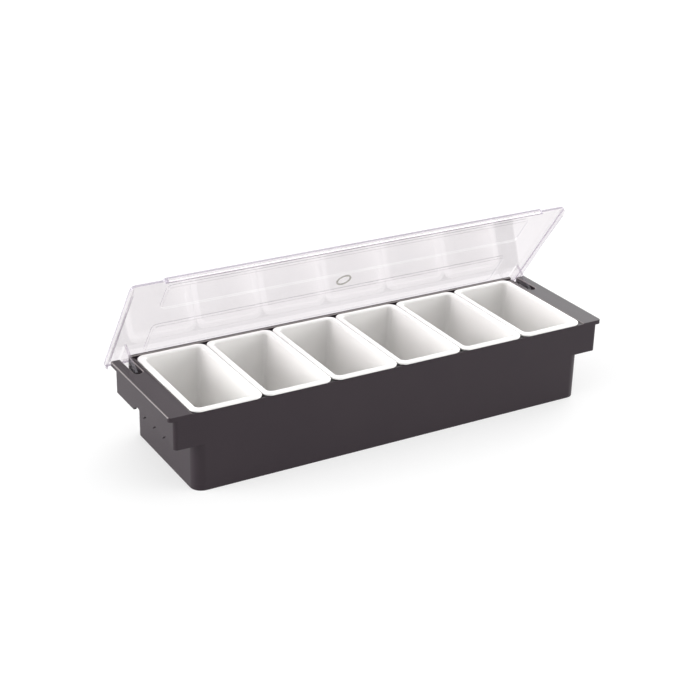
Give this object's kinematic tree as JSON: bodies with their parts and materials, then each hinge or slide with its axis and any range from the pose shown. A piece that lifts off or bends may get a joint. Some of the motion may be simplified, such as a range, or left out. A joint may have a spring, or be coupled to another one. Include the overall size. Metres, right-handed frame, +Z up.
{
  "type": "condiment caddy",
  "caption": "Long serving tub with overhanging end flanges, a row of lift-out pans and one clear lid on end hinge blades.",
  "frame": {"origin": "middle of the tub's flat underside", "axes": "+X along the row of pans, +Y towards the hinge side, +Z up"},
  "size_m": [0.5014, 0.1563, 0.1904],
  "materials": {
    "tub": "fine matte grain",
    "pan": "glossy white",
    "lid": "clear, polished"
  },
  "bodies": {
    "tub": {"tub": "tub"},
    "lid": {"lid": "lid"},
    "pan_1": {"pan_1": "pan"},
    "pan_2": {"pan_2": "pan"},
    "pan_3": {"pan_3": "pan"},
    "pan_4": {"pan_4": "pan"},
    "pan_5": {"pan_5": "pan"},
    "pan_6": {"pan_6": "pan"}
  },
  "joints": [
    {"name": "lid_hinge", "type": "hinge", "parent": "tub", "child": "lid", "pos_m": [0, 0.0615, 0.0672], "axis": [-1, 0, 0], "range_deg": [-55, 55]},
    {"name": "pan_1_lift", "type": "slide", "parent": "tub", "child": "pan_1", "axis": [0, 0, 1], "range_m": [0, 0.0105]},
    {"name": "pan_2_lift", "type": "slide", "parent": "tub", "child": "pan_2", "axis": [0, 0, 1], "range_m": [0, 0.0105]},
    {"name": "pan_3_lift", "type": "slide", "parent": "tub", "child": "pan_3", "axis": [0, 0, 1], "range_m": [0, 0.0105]},
    {"name": "pan_4_lift", "type": "slide", "parent": "tub", "child": "pan_4", "axis": [0, 0, 1], "range_m": [0, 0.0105]},
    {"name": "pan_5_lift", "type": "slide", "parent": "tub", "child": "pan_5", "axis": [0, 0, 1], "range_m": [0, 0.0105]},
    {"name": "pan_6_lift", "type": "slide", "parent": "tub", "child": "pan_6", "axis": [0, 0, 1], "range_m": [0, 0.0105]}
  ]
}
